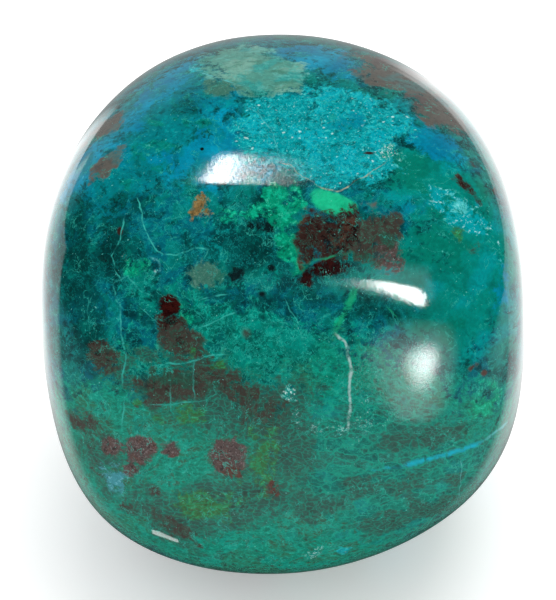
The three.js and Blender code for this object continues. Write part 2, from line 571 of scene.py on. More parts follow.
MARKINGS = (
    Marking("blue band", Rock.BLUE_SILICA, (166, 84), (46, 9), -38, Edge.RAGGED, 0.6),
    Marking("blue rim, left", Rock.BLUE_SILICA, (84, 166), (12, 34), 16, Edge.RAGGED, 0.5),
    Marking("blue patch, upper left", Rock.BLUE_SILICA, (134, 126), (14, 12), -30, Edge.RAGGED, 0.6, 0.8),
    Marking("dark green shade", Rock.DARK_LACE, (188, 104), (26, 18), -30, Edge.FRAYED, 0.5, 0.8),
    Marking("blue window", Rock.BLUE_SILICA, (224, 150), (54, 32), -20, Edge.RAGGED, 0.35, 1.0),
    Marking("blue window, top", Rock.BLUE_SILICA, (238, 124), (34, 14), 10, Edge.RAGGED, 0.5, 0.8),
    Marking("brown rim band", Rock.HAZY_BROWN, (106, 126), (25, 8), -40, Edge.FRAYED, 0.4, 0.9),
    Marking("brown rim end", Rock.HAZY_BROWN, (86, 142), (5, 12), 24, Edge.FRAYED, 0.5, 0.8),
    Marking("brown tongue", Rock.HAZY_BROWN, (109, 161), (9, 25), 22, Edge.FRAYED, 0.4, 0.9),
    Marking("top blue", Rock.BLUE_SILICA, (315, 58), (46, 16), 12, Edge.RAGGED, 0.5),
    Marking("sandy patch, left", Rock.SANDY_TURQUOISE, (296, 126), (50, 48), 35, Edge.RAGGED, 0.12, 1.0),
    Marking("sandy patch, right", Rock.SANDY_TURQUOISE, (352, 130), (62, 46), 12, Edge.RAGGED, 0.15, 1.0),
    Marking("sandy patch, foot", Rock.SANDY_TURQUOISE, (328, 164), (36, 24), 10, Edge.CLEAN, 0.1, 1.0),
    Marking("shade in the sand", Rock.BLUE_TEAL, (346, 120), (20, 13), 15, Edge.FRAYED, 0.5, 0.8),
    Marking("frost in the sand", Rock.SNOW, (388, 151), (13, 12), 50, Edge.FRAYED, 0.6, 0.75),
    Marking("frost below it", Rock.MILKY, (398, 166), (16, 18), 30, Edge.FRAYED, 0.6, 0.5),
    Marking("chalcedony", Rock.CHALCEDONY, (252, 66), (52, 24), 12, Edge.RAGGED, 0.2, 1.0),
    Marking("chalcedony, pale lobe", Rock.CHALCEDONY, (276, 82), (22, 16), 20, Edge.RAGGED, 0.3, 1.0),
    Marking("chalcedony wedge", Rock.GREY_LENS, (220, 88), (18, 9), 18, Edge.RAGGED, 0.3, 0.9),
    Marking("brown shoulder", Rock.HAZY_BROWN, (398, 76), (58, 17), 30, Edge.RAGGED, 0.25, 1.0),
    Marking("brown shoulder, low", Rock.HAZY_BROWN, (440, 112), (30, 16), 44, Edge.RAGGED, 0.3, 1.0),
    Marking("teal under the brown", Rock.BLUE_TEAL, (406, 106), (13, 15), -10, Edge.FRAYED, 0.4, 0.7),
    Marking("blue spot", Rock.BLUE_SILICA, (434, 142), (16, 32), -16, Edge.RAGGED, 0.4, 1.0),
    Marking("dark vein", Rock.CUPRITE, (464, 184), (5, 17), -34, Edge.FRAYED, 0.4, 0.9),
    Marking("milky streak", Rock.MILKY, (468, 216), (40, 13), 40, Edge.FRAYED, 0.5, 0.85),
    Marking("milky head", Rock.MILKY, (444, 196), (14, 9), 10, Edge.FRAYED, 0.5, 0.8),
    Marking("brown spot, right", Rock.OLIVE, (458, 232), (8, 11), 0, Edge.FRAYED, 0.4, 0.8),
    Marking("teal pool", Rock.BLUE_TEAL, (415, 206), (14, 12), 0, Edge.RAGGED, 0.5, 0.9),
    Marking("blue right rim", Rock.BLUE_SILICA, (503, 288), (9, 26), 0, Edge.RAGGED, 0.6, 0.7),
    # partly painted shade: darker below the middle glint's ridge, where the front faces away from the light
    Marking("dark under the middle glint", Rock.DARK_LACE, (398, 306), (36, 12), 18, Edge.RAGGED, 0.6, 0.8),
    Marking("flank, brown", Rock.BROWN, (372, 232), (26, 26), 0, Edge.FRAYED, 0.4, 0.95),
    Marking("flank, low", Rock.BROWN, (364, 254), (22, 14), 0, Edge.FRAYED, 0.4, 0.85),
    Marking("flank, mauve", Rock.MAUVE_CUPRITE, (388, 250), (20, 22), 0, Edge.RAGGED, 0.4, 0.85),
    Marking("flank, top", Rock.HAZY_BROWN, (376, 206), (18, 14), 0, Edge.FRAYED, 0.5, 0.6),
    Marking("cuprite heart", Rock.CUPRITE, (322, 230), (28, 22), 30, Edge.RAGGED, 0.3),
    Marking("cuprite heart, low", Rock.CUPRITE, (334, 250), (20, 14), 0, Edge.RAGGED, 0.4),
    Marking("cuprite heart, left leg", Rock.CUPRITE, (308, 250), (9, 22), 14, Edge.FRAYED, 0.4, 0.9),
    Marking("cuprite heart, right", Rock.CUPRITE, (348, 232), (16, 24), 10, Edge.RAGGED, 0.3),
    Marking("cuprite stripe", Rock.DEEP_CUPRITE, (330, 268), (24, 9), -12, Edge.RAGGED, 0.3),
    Marking("cuprite stripe, tail", Rock.DEEP_CUPRITE, (306, 280), (8, 7), -40, Edge.FRAYED, 0.4),
    Marking("malachite bean", Rock.BRIGHT_MALACHITE, (333, 203), (24, 12), 24, Edge.CLEAN, 0.1, 1.0),
    Marking("malachite patch", Rock.MALACHITE, (281, 206), (27, 20), 10, Edge.FRAYED, 0.2, 1.0),
    Marking("malachite lobe", Rock.MALACHITE, (286, 246), (14, 17), 0, Edge.RAGGED, 0.25, 1.0),
    Marking("green vein", Rock.MALACHITE, (351, 299), (4.5, 14), 22, Edge.CLEAN, 0.3),
    Marking("green vein, foot", Rock.MALACHITE, (341, 319), (3.5, 12), 36, Edge.CLEAN, 0.4, 0.9),
    Marking("malachite crumb", Rock.MALACHITE, (300, 268), (10, 7), -20, Edge.FRAYED, 0.3, 0.9),
    Marking("green by the tooth", Rock.MALACHITE, (226, 216), (16, 13), 0, Edge.FRAYED, 0.5, 0.7),
    Marking("tooth, crown", Rock.OCHRE, (201, 203), (7, 9), 0, Edge.RAGGED, 0.4),
    Marking("tooth, left root", Rock.OCHRE, (195, 212), (5, 8), 20, Edge.RAGGED, 0.4),
    Marking("tooth, right root", Rock.OCHRE, (206, 212), (5, 8), -16, Edge.RAGGED, 0.4),
    Marking("black hole, upper", Rock.SOOT, (262, 226), (16, 7), 16, Edge.FRAYED, 0.5, 0.75),
    Marking("black hole, lower", Rock.SOOT, (237, 273), (8, 8), 0, Edge.FRAYED, 0.4, 0.9),
    Marking("black hole, right", Rock.SOOT, (271, 268), (6, 4), 0, Edge.FRAYED, 0.4, 0.8),
    # partly painted shade: the left side darker where it faces away from the light
    Marking("dark left", Rock.DARK_LACE, (86, 246), (28, 62), 0, Edge.RAGGED, 0.4, 0.7),
    Marking("eye", Rock.MALACHITE, (139, 268), (17, 13), 0, Edge.RAGGED, 0.4, 0.7),
    Marking("eye, pale left", Rock.SNOW, (125, 258), (4, 6), -20, Edge.FRAYED, 0.5, 0.7),
    Marking("eye, pale right", Rock.SNOW, (156, 268), (4, 8), 0, Edge.FRAYED, 0.5, 0.7),
    Marking("grey lens", Rock.GREY_LENS, (206, 275), (18, 14), 0, Edge.CLEAN, 0.4, 0.9),
    Marking("boot, shin", Rock.DEEP_CUPRITE, (170, 307), (10, 12), 0, Edge.CLEAN, 0.3),
    Marking("boot, ankle", Rock.CUPRITE, (171, 325), (17, 12), 20, Edge.CLEAN, 0.3, 1.0),
    Marking("boot, foot", Rock.BROWN, (182, 342), (25, 15), 24, Edge.CLEAN, 0.3),
    Marking("boot, toe", Rock.BROWN, (204, 358), (12, 8), 30, Edge.FRAYED, 0.4, 0.8),
    Marking("green by the boot", Rock.MALACHITE, (185, 314), (5, 11), -16, Edge.FRAYED, 0.5, 0.9),
    Marking("green in the boot", Rock.OLIVE, (192, 352), (4, 7), 0, Edge.FRAYED, 0.5, 0.8),
    Marking("brown spot, upper", Rock.CUPRITE, (101, 348), (13, 9), 0, Edge.CLEAN, 0.4, 0.9),
    Marking("brown spot, lower", Rock.BROWN, (103, 358), (16, 15), 0, Edge.CLEAN, 0.4),
    Marking("brown band", Rock.BROWN, (160, 386), (30, 17), 0, Edge.CLEAN, 0.4, 1.0),
    Marking("brown band, middle", Rock.BROWN, (188, 382), (20, 15), 0, Edge.RAGGED, 0.4, 0.95),
    Marking("brown band, foot", Rock.BROWN, (150, 402), (16, 8), 0, Edge.FRAYED, 0.4, 0.8),
    Marking("brown band, right", Rock.BROWN, (222, 380), (20, 14), 20, Edge.RAGGED, 0.4, 0.9),
    Marking("brown band, end", Rock.BROWN, (243, 394), (17, 18), 0, Edge.FRAYED, 0.4, 0.9),
    Marking("yellow crumbs", Rock.OLIVE, (219, 366), (8, 5), 0, Edge.FRAYED, 0.4, 0.9),
    Marking("brown cloud", Rock.BROWN, (264, 414), (24, 20), 0, Edge.FRAYED, 0.5, 0.8),
    Marking("brown cloud, low", Rock.BROWN, (276, 442), (16, 22), 0, Edge.FRAYED, 0.6, 0.6),
    Marking("brown cloud, right", Rock.BROWN, (288, 404), (18, 12), 30, Edge.FRAYED, 0.6, 0.6),
    Marking("green over the band", Rock.TEAL_LACE, (188, 420), (40, 10), 0, Edge.FRAYED, 0.5, 0.7),
    Marking("turquoise pool, low", Rock.TEAL_LACE, (141, 425), (13, 12), 0, Edge.RAGGED, 0.5, 0.8),
    Marking("olive rings", Rock.OLIVE, (184, 414), (26, 12), 0, Edge.FRAYED, 0.5, 0.8),
    Marking("snow crumbs", Rock.SNOW, (290, 392), (6, 8), 20, Edge.FRAYED, 0.5, 1.0),
    Marking("snow crumbs, low", Rock.SNOW, (296, 420), (6, 13), 0, Edge.FRAYED, 0.6, 0.6),
    Marking("snow dust", Rock.SNOW, (346, 424), (44, 22), 0, Edge.FRAYED, 0.8, 0.5),
    Marking("mauve grains, left", Rock.MAUVE_CUPRITE, (112, 447), (11, 9), 30, Edge.CLEAN, 0.2, 1.0),
    Marking("mauve grains, middle", Rock.MAUVE_CUPRITE, (140, 450), (16, 14), 20, Edge.CLEAN, 0.2, 1.0),
    Marking("mauve grains, right", Rock.MAUVE_CUPRITE, (171, 449), (9, 8), 0, Edge.CLEAN, 0.2, 1.0),
    Marking("mauve grain, low", Rock.MAUVE_CUPRITE, (130, 470), (8, 7), 0, Edge.CLEAN, 0.3),
    Marking("mauve coin", Rock.MAUVE_CUPRITE, (228, 456), (21, 18), 0, Edge.CLEAN, 0.15),
    Marking("red under the coin", Rock.RED_SPOT, (233, 473), (11, 5), 0, Edge.FRAYED, 0.3),
    Marking("pale blue haze", Rock.PALE_BLUE, (116, 478), (11, 15), 0, Edge.FRAYED, 0.5, 0.85),
    Marking("brown streak, left", Rock.BROWN, (84, 424), (22, 10), 44, Edge.FRAYED, 0.5, 0.85),
    Marking("brown streak, left, low", Rock.BROWN, (92, 440), (12, 10), 50, Edge.FRAYED, 0.5, 0.75),
    Marking("brown rim, low left", Rock.BROWN, (93, 464), (6, 10), 0, Edge.FRAYED, 0.5, 0.7),
    Marking("red triangle", Rock.BROWN, (156, 491), (6, 9), 0, Edge.FRAYED, 0.4, 0.8),
    Marking("brown streak, low", Rock.BROWN, (126, 504), (15, 7), 30, Edge.FRAYED, 0.5, 0.7),
    Marking("brown foot", Rock.BROWN, (176, 528), (30, 8), 30, Edge.FRAYED, 0.5, 0.9),
    Marking("brown foot, left", Rock.BROWN, (136, 508), (20, 6), 26, Edge.FRAYED, 0.5, 0.75),
    Marking("olive ring, low", Rock.OLIVE, (198, 506), (22, 14), 0, Edge.RAGGED, 0.4, 0.9),
    Marking("olive bed", Rock.OLIVE, (212, 503), (30, 15), 0, Edge.FRAYED, 0.5, 0.8),
    Marking("olive bed, right", Rock.OLIVE, (262, 458), (22, 34), 0, Edge.FRAYED, 0.5, 0.8),
    Marking("red spot, low", Rock.RED_SPOT, (275, 491), (9, 8), -30, Edge.FRAYED, 0.4, 0.85),
    Marking("turquoise, top left", Rock.SANDY_TURQUOISE, (196, 68), (8, 6), -20, Edge.FRAYED, 0.4, 0.8),
    Marking("pale crumbs, upper left", Rock.SNOW, (158, 139), (10, 18), 20, Edge.FRAYED, 0.6, 0.42),
    # The SHADE markings paint shade over darker teal of the stone's own, mostly across the front band below
    # the crown and down the left side
    Marking("shade, centre", Rock.SHADE, (256, 250), (22, 26), 0, Edge.RAGGED, 0.5, 0.85),
    Marking("shade over the malachite", Rock.SHADE, (262, 212), (18, 22), 0, Edge.FRAYED, 0.5, 0.75),
    Marking("shade left of the heart", Rock.SHADE, (298, 240), (12, 24), 0, Edge.FRAYED, 0.5, 0.8),
    Marking("shade, far left", Rock.SHADE, (84, 236), (26, 54), 6, Edge.FRAYED, 0.5, 0.95),
    Marking("shade, far left, inner", Rock.SHADE, (112, 236), (18, 40), 0, Edge.FRAYED, 0.5, 0.8),
    Marking("shade, left, low", Rock.SHADE, (86, 318), (26, 42), 0, Edge.FRAYED, 0.5, 0.85),
    Marking("shade by the brown spot", Rock.SHADE, (96, 366), (26, 14), 0, Edge.FRAYED, 0.5, 0.7),
    Marking("shade, upper left", Rock.SHADE, (132, 204), (26, 18), 0, Edge.FRAYED, 0.5, 0.75),
    Marking("shade under the lens", Rock.SHADE, (222, 296), (22, 10), 0, Edge.FRAYED, 0.5, 0.75),
    Marking("shade by the boot", Rock.SHADE, (158, 300), (14, 10), 30, Edge.FRAYED, 0.5, 0.85),
    Marking("shade, boot's heel", Rock.SHADE, (152, 318), (12, 12), 0, Edge.FRAYED, 0.5, 0.8),
    Marking("shade, under the stripe", Rock.SHADE, (304, 300), (30, 16), 0, Edge.FRAYED, 0.5, 0.75),
    Marking("shade, right of the vein", Rock.SHADE, (372, 308), (34, 16), 24, Edge.FRAYED, 0.5, 0.8),
    Marking("shade, blue window's left", Rock.SHADE, (142, 166), (14, 26), -20, Edge.FRAYED, 0.6, 0.6),
    Marking("shade, top left", Rock.SHADE, (188, 106), (20, 16), -30, Edge.FRAYED, 0.5, 0.6),
    Marking("shade under the sand", Rock.SHADE, (290, 186), (26, 14), 20, Edge.FRAYED, 0.5, 0.65),
    Marking("black, far left", Rock.SOOT, (99, 258), (10, 7), 0, Edge.FRAYED, 0.5, 0.6),
    Marking("brown flecks, right", Rock.BROWN, (474, 164), (7, 6), 0, Edge.FRAYED, 0.5, 0.75),
    Marking("brown fleck, right rim", Rock.BROWN, (495, 192), (3, 6), -10, Edge.FRAYED, 0.5, 0.8),
    Marking("brown dot, right", Rock.CUPRITE, (480, 204), (4, 4), 0, Edge.FRAYED, 0.4, 0.9),
    Marking("dark dots, right", Rock.UMBER, (474, 246), (7, 9), 0, Edge.FRAYED, 0.5, 0.8),
    Marking("yellow-green, left", Rock.OLIVE, (139, 402), (6, 5), 0, Edge.FRAYED, 0.5, 0.9),
    Marking("pale blob", Rock.SNOW, (314, 554), (7, 10), 14, Edge.RAGGED, 0.6, 0.7),
    Marking("turquoise spot, low", Rock.SANDY_TURQUOISE, (345, 551), (7, 5), -20, Edge.RAGGED, 0.6, 0.8),
    Marking("dark blob, upper right", Rock.UMBER, (440, 436), (30, 12), -24, Edge.FRAYED, 0.4, 1.0),
    Marking("dark blob, middle", Rock.UMBER, (432, 508), (26, 9), -16, Edge.FRAYED, 0.4, 1.0),
    Marking("dark blob, low", Rock.UMBER, (384, 524), (28, 10), -14, Edge.FRAYED, 0.4, 1.0),
    Marking("dark cell, centre", Rock.UMBER, (358, 486), (24, 10), -10, Edge.FRAYED, 0.4, 1.0),
    Marking("dark cell, left", Rock.UMBER, (318, 508), (24, 11), -10, Edge.FRAYED, 0.4, 1.0),
    Marking("dark cells, far left", Rock.UMBER, (300, 480), (20, 8), -10, Edge.FRAYED, 0.5, 0.7),
    Marking("dark cells, right", Rock.UMBER, (404, 486), (24, 9), -14, Edge.FRAYED, 0.5, 1.0),
    Marking("dark cells, upper", Rock.UMBER, (400, 440), (24, 11), -20, Edge.FRAYED, 0.5, 0.95),
    Marking("dark cells, rim", Rock.UMBER, (452, 480), (16, 7), -24, Edge.FRAYED, 0.5, 0.7),
    Marking("muddy bed", Rock.UMBER, (214, 404), (74, 32), 12, Edge.FRAYED, 0.5, 1.0),
    Marking("muddy bed, right", Rock.UMBER, (276, 446), (34, 52), 0, Edge.FRAYED, 0.5, 1.0),
    Marking("muddy bed, low", Rock.UMBER, (232, 502), (62, 22), -8, Edge.FRAYED, 0.5, 1.0),
    Marking("muddy foot", Rock.UMBER, (160, 520), (46, 20), 26, Edge.FRAYED, 0.5, 1.0),
    Marking("muddy heel", Rock.UMBER, (104, 462), (26, 34), -20, Edge.FRAYED, 0.5, 0.95),
    Marking("green lobe, right", Rock.MALACHITE, (488, 402), (12, 22), 16, Edge.FRAYED, 0.5, 0.7),
    Marking("red spot, right", Rock.RED_SPOT, (472, 367), (6, 4), 0, Edge.FRAYED, 0.4, 0.9),
)

DOTS = (
    Marking("dot on the lens", Rock.SNOW, (206, 286), (2, 2), 0, Edge.CLEAN, 0.3),
    Marking("red speck, middle", Rock.BROWN, (246, 333), (4, 4.5), 0, Edge.RAGGED, 0.8),
    Marking("red speck, centre", Rock.SOOT, (262, 294), (4, 3), 0, Edge.FRAYED, 0.5),
    Marking("red dot, left", Rock.CUPRITE, (120, 231), (3, 4), 0, Edge.CLEAN, 0.3),
    Marking("red dot, right", Rock.RED_SPOT, (484, 373), (3, 3), 0, Edge.RAGGED, 0.4, 0.9),
    Marking("black dot", Rock.SOOT, (202, 149), (2, 1.6), 0, Edge.CLEAN, 0.3),
    Marking("slit in the sand", Rock.CUPRITE, (369, 153), (5, 1.4), 0, Edge.CLEAN, 0.4),
    Marking("pearl in the sand", Rock.SNOW, (333, 117), (4, 3.4), 20, Edge.CLEAN, 0.3, 0.6),
)

CLEAN_EDGED = (Rock.BRIGHT_MALACHITE,)  # minerals whose outlines the grain leaves alone
LOBES = {Edge.CLEAN: 0.15, Edge.RAGGED: 0.5, Edge.FRAYED: 0.8}  # how far outlines wander, in half sizes


def stamp_name(group: tuple[Marking, ...], rock: Rock) -> str:
    """The name under which the mesh carries a mineral's markings."""
    return f"{'zone' if group is ZONES else 'marking'} {rock.name.lower()}"


PALE_THREAD = (50, 176, 160)
PALE_DUST = (110, 206, 196)
WHITE_VEIN = (176, 208, 206)
GREEN_VEIN = (26, 156, 112)
BLUE_VEIN = (0, 170, 192)
PALE_BLUE_VEIN = (90, 184, 186)
THREAD = (56, 184, 172)
CREAM_VEIN = (176, 176, 140)

VEINS = (
    Vein("white vein", WHITE_VEIN,
         ((335, 334), (344, 341), (348, 350), (351, 366), (350, 383), (350, 400), (348, 430)), 0.24, 0.8),
    Vein("green vein, thick", GREEN_VEIN, ((354, 291), (351, 300), (346, 311)), 0.55, 1.0),
    Vein("green vein, thin", GREEN_VEIN, ((347, 308), (341, 319), (335, 333)), 0.4, 0.95),
    Vein("green twin", GREEN_VEIN, ((386, 306), (396, 316), (402, 327)), 0.14, 0.6),
    Vein("blue line", BLUE_VEIN, ((398, 467), (421, 461), (438, 457), (462, 450), (484, 441)), 0.5, 1.0),
    Vein("blue line, ends", BLUE_VEIN, ((373, 470), (398, 467)), 0.34, 0.8),
    Vein("blue line, far end", PALE_BLUE_VEIN, ((484, 441), (496, 431), (508, 422)), 0.4, 0.9),
    Vein("pale crack, low right", PALE_BLUE_VEIN, ((461, 458), (461, 475), (456, 503)), 0.1, 0.6),
    Vein("pale crack, left", THREAD,
         ((138, 196), (140, 210), (144, 226), (148, 238), (156, 250), (164, 255)), 0.13, 0.9),
    Vein("pale crack, arch", THREAD, ((164, 254), (176, 254), (189, 250), (197, 247), (208, 250), (203, 259)),
         0.12, 0.85),
    Vein("eye's ring", PALE_BLUE_VEIN, ((150, 257), (158, 262), (160, 270), (153, 277)), 0.2, 0.8),
    Vein("strand, left", THREAD, ((112, 284), (120, 306), (121, 332), (125, 356), (122, 386)), 0.16, 0.7),
    Vein("strand, left, branch", THREAD, ((112, 284), (128, 276), (140, 290), (152, 296)), 0.14, 0.6),
    Vein("strand, far left", THREAD, ((92, 296), (87, 312), (90, 336), (98, 344)), 0.1, 0.45),
    Vein("strand over the boot", THREAD, ((200, 300), (216, 296), (228, 294)), 0.14, 0.7),
    Vein("pale crack, outer", THREAD,
         ((125, 217), (121, 238), (113, 255), (115, 270), (121, 279)), 0.14, 0.8),
    Vein("crack by the boot", THREAD, ((139, 306), (159, 323)), 0.1, 0.7),
    Vein("crack over the boot", THREAD, ((153, 366), (189, 362), (206, 357), (226, 354)), 0.16, 0.8),
    Vein("crack, slanting", THREAD, ((196, 329), (222, 318), (242, 309)), 0.12, 0.7),
    Vein("crack down", THREAD, ((193, 359), (194, 400)), 0.16, 0.7),
    Vein("grid, upright", THREAD, ((170, 384), (171, 418)), 0.13, 0.7),
    Vein("grid, level", THREAD, ((149, 405), (203, 401)), 0.13, 0.7),
    Vein("crack, far left", THREAD, ((124, 398), (122, 428)), 0.15, 0.7),
    Vein("crack, centre", THREAD, ((285, 298), (294, 316), (300, 326)), 0.12, 0.6),
    Vein("cuprite's green thread", GREEN_VEIN, ((302, 267), (316, 260), (346, 253)), 0.2, 0.7),
    Vein("sand's pale rim", PALE_BLUE_VEIN,
         ((246, 106), (257, 113), (264, 121), (272, 131), (277, 146), (281, 163)), 0.1, 0.6),
    Vein("sand's lower rim", CREAM_VEIN, ((281, 163), (290, 165), (302, 176), (318, 186)), 0.1, 0.5),
    Vein("cream line", CREAM_VEIN, ((318, 186), (335, 191), (342, 190), (350, 185)), 0.16, 0.8),
    Vein("cream line, end", CREAM_VEIN, ((350, 185), (360, 179), (373, 171), (386, 161)), 0.11, 0.6),
    Vein("chalcedony's lip", PALE_BLUE_VEIN, ((198, 72), (212, 76), (238, 85)), 0.2, 0.7),
)


def new_object(mesh: bmesh.types.BMesh, name: str, data_name: str = "") -> bpy.types.Object:
    """Makes an object of a finished mesh and links it to the scene.

    Args:
        mesh: the mesh, which is freed.
        name: the object's name.
        data_name: the name of its mesh, where that differs.

    Returns:
        The object, at the origin.
    """
    data = bpy.data.meshes.new(data_name or name)
    mesh.to_mesh(data)
    mesh.free()
    made = bpy.data.objects.new(name, data)
    bpy.context.scene.collection.objects.link(made)
    return made


class Bench:
    """Lays out and joins the nodes of one shader tree, in the order in which they are worked out."""

    def __init__(self, tree: bpy.types.NodeTree) -> None:
        """Starts on an empty tree."""
        self.tree = tree
        tree.nodes.clear()

    @classmethod
    def for_material(cls, name: str) -> tuple[bpy.types.Material, Bench]:
        """Makes an empty material, and a bench on its tree."""
        material = bpy.data.materials.new(name)
        material.use_nodes = True
        return material, cls(material.node_tree)

    def node(self, kind: str, **settings: object) -> bpy.types.Node:
        """Adds a node and sets its own properties.

        Args:
            kind: the node's type name, without its ShaderNode start.
            **settings: property names and values.

        Returns:
            The new node.
        """
        prefix = "" if kind.startswith("Node") else "ShaderNode"
        made = self.tree.nodes.new(prefix + kind)
        for name, value in settings.items():
            setattr(made, name, value)
        return made

    def put(self, socket: Socket, value: object) -> None:
        """Joins a socket to an input, or writes a constant into it."""
        if isinstance(value, bpy.types.NodeSocket):
            self.tree.links.new(value, socket)
        else:
            socket.default_value = value

    def math(self, operation: str, first: object, second: object = 0.0, third: object = 0.0) -> Socket:
        """Adds a Math node.

        Args:
            operation: the node's operation.
            first: first value or socket.
            second: second value or socket.
            third: third value or socket.

        Returns:
            The result's socket.
        """
        made = self.node("Math", operation=operation)
        for socket, value in zip(made.inputs, (first, second, third)):
            self.put(socket, value)
        return made.outputs[0]

    def vector(
        self, operation: str, first: object, second: object = (0, 0, 0), scale: object = 1.0
    ) -> Socket:
        """Adds a Vector Math node.

        Args:
            operation: the node's operation.
            first: first vector or socket.
            second: second vector or socket.
            scale: factor, for the SCALE operation.

        Returns:
            The result's socket, a value for LENGTH and DOT_PRODUCT.
        """
        made = self.node("VectorMath", operation=operation)
        self.put(made.inputs[0], first)
        self.put(made.inputs[1], second)
        self.put(made.inputs[3], scale)
        return made.outputs["Value" if operation in ("LENGTH", "DOT_PRODUCT") else "Vector"]

    def remap(
        self, value: object, low: object, high: object, start: object = 0.0, end: object = 1.0
    ) -> Socket:
        """Adds a smooth Map Range node.

        Args:
            value: what is mapped.
            low: value that gives start.
            high: value that gives end.
            start: result at low.
            end: result at high.

        Returns:
            The result's socket.
        """
        made = self.node("MapRange", interpolation_type="SMOOTHSTEP")
        given = {"Value": value, "From Min": low, "From Max": high, "To Min": start, "To Max": end}
        for name, part in given.items():
            self.put(made.inputs[name], part)
        return made.outputs[0]

    def mix(self, share: object, under: object, over: object, blend: str = "MIX") -> Socket:
        """Adds a Mix node for colours.

        Args:
            share: how much of the upper colour shows.
            under: lower colour.
            over: upper colour.
            blend: blend type.

        Returns:
            The mixed colour's socket.
        """
        made = self.node("Mix", data_type="RGBA", blend_type=blend, clamp_factor=True)
        self.put(made.inputs[0], share)
        self.put(made.inputs[6], under)
        self.put(made.inputs[7], over)
        return made.outputs[2]

    def blend(self, share: Socket, first: Socket, second: Socket) -> Socket:
        """Adds a Mix Shader node, second showing where share is one."""
        made = self.node("MixShader")
        for socket, value in zip(made.inputs, (share, first, second)):
            self.put(socket, value)
        return made.outputs[0]

    def finish(self, kind: str, shader: Socket) -> None:
        """Joins a shader to the tree's output node."""
        self.put(self.node(kind).inputs["Surface"], shader)

    def inside(self, place: Socket, centre: Vector, frame: Matrix, size: Vector) -> Socket:
        """Adds nodes that tell how deep a place lies in an ellipsoid.

        Args:
            place: coordinates.
            centre: the ellipsoid's middle.
            frame: its axes as columns.
            size: its half sizes along them.

        Returns:
            One at its middle, falling to nought at its skin.
        """
        own = self.node("Mapping", vector_type="TEXTURE")
        given = {"Vector": place, "Location": centre, "Rotation": Vector(frame.to_euler()), "Scale": size}
        for name, value in given.items():
            self.put(own.inputs[name], value)
        ball = self.node("TexGradient", gradient_type="SPHERICAL")
        self.put(ball.inputs[0], own.outputs[0])
        return ball.outputs["Fac"]

    def use(self, group: bpy.types.NodeTree, label: str, **given: object) -> Socket:
        """Adds a node group.

        Args:
            group: the group's tree.
            label: what the node is for.
            **given: values or sockets for its inputs, with spaces in their names as underscores.

        Returns:
            The group's first output.
        """
        made = self.node("Group", node_tree=group)
        made.label = label
        for name, value in given.items():
            self.put(made.inputs[name.replace("_", " ")], value)
        return made.outputs[0]


@dataclass(frozen=True)
class Ramp:
    """A smooth step of a value, from start at low to end at high."""

    low: float
    high: float
    start: float = 0.0
    end: float = 1.0

    def of(self, bench: Bench, value: Socket) -> Socket:
        """Adds the step's node."""
        return bench.remap(value, self.low, self.high, self.start, self.end)


GRAIN_TILT = -12  # degrees
GRAIN_STRETCH = 2
SCALED = {"Vector": "Vector", "Scale": "Float"}


